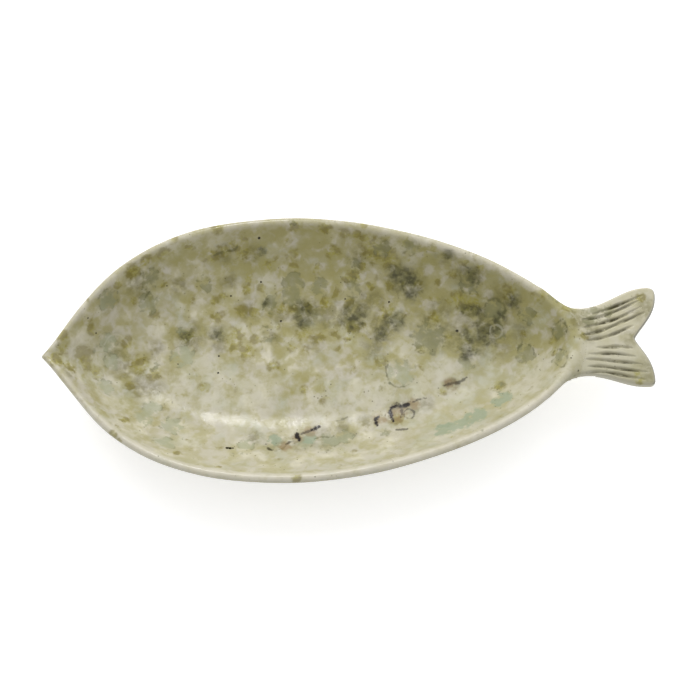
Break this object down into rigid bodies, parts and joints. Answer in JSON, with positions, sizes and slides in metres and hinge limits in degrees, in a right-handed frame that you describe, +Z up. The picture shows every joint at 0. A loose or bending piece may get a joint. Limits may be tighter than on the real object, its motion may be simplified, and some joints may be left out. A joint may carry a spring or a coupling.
{
  "type": "fish-shaped serving platter",
  "caption": "Fish-shaped glazed stoneware serving platter with a pointed nose, a deep boat-like well inside a rounded rim, a carved forked tail and a bare clay foot ring.",
  "frame": {"origin": "on the table under the middle of the overall length and width", "axes": "+X from the nose to the tail, +Y to the flank that is far from the viewer, +Z up"},
  "size_m": [0.38, 0.173, 0.045],
  "materials": {
    "glaze": "glossy mottled reactive glaze, warm grey-beige with olive and grey-green blooms, dark speckles and a fine brown crackle",
    "bare_clay": "unglazed fired stoneware, matt and slightly gritty"
  },
  "bodies": {
    "root": {"bowl": "glaze", "tail_fin": "glaze", "foot_ring": "bare_clay"}
  },
  "joints": []
}
